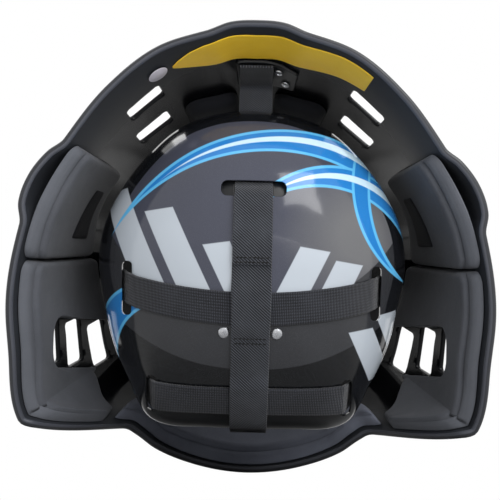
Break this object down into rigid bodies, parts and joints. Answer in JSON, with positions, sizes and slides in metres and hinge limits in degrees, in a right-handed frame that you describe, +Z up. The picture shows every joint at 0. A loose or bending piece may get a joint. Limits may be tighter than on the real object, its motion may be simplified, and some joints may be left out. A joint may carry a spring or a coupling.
{
  "type": "goalkeeper helmet",
  "caption": "Moulded goalkeeper mask with a wire face cage, foam-lined bowl and a sprung back plate held by webbing and elastic straps.",
  "frame": {"origin": "on the floor, under the middle of the helmet's box, as it stands on its chin and its two jaw corners", "axes": "+X towards the wearer's right, +Y towards the front, +Z up from the floor"},
  "size_m": [0.262, 0.2492, 0.2183],
  "materials": {
    "shell": "moulded, soft gloss, near black",
    "cage_wire": "powder-coated wire",
    "clip_steel": "coated spring steel",
    "bright_steel": "plated",
    "washer_steel": "blackened",
    "side_foam": "foam faced with brushed fabric",
    "inner_foam": "foam faced with brushed fabric",
    "yellow_strip": "plain adhesive strip",
    "pale_disc": "plain adhesive disc",
    "bracket": "moulded",
    "plate_gloss": "lacquered, high gloss, with painted bands",
    "webbing": "twill webbing",
    "elastic": "ribbed elastic"
  },
  "bodies": {
    "mask": {"mask_shell": "shell", "face_cage": "cage_wire", "cage_clips": "clip_steel", "cage_screws": "bright_steel", "cage_nuts": "bright_steel", "forehead_pad_left": "inner_foam", "forehead_pad_right": "inner_foam", "temple_pad_left": "side_foam", "temple_pad_right": "side_foam", "jaw_pad_left": "side_foam", "jaw_pad_right": "side_foam", "chin_pad": "inner_foam", "rim_label": "yellow_strip", "size_disc": "pale_disc", "crown_bracket": "bracket", "crown_screws": "bright_steel", "upper_elastic_left": "elastic", "upper_elastic_right": "elastic", "lower_elastic_left": "elastic", "lower_elastic_right": "elastic", "anchor_screws": "bright_steel", "anchor_washers": "washer_steel"},
    "back_plate": {"back_plate": "plate_gloss", "occipital_pad": "inner_foam", "nape_pad": "inner_foam", "spine_webbing": "webbing", "upper_elastic": "elastic", "lower_elastic": "elastic", "plate_rivets": "bright_steel", "crown_webbing": "webbing"}
  },
  "joints": [
    {"name": "back_plate_swing", "type": "hinge", "parent": "mask", "child": "back_plate", "pos_m": [0, -0.0592, 0.2063], "axis": [-1, 0, 0], "range_deg": [0, 22], "stiffness_Nm_per_rad": 3, "springref_deg": -8.59, "deforming": ["crown_webbing", "upper_elastic_left", "upper_elastic_right", "lower_elastic_left", "lower_elastic_right"]}
  ]
}
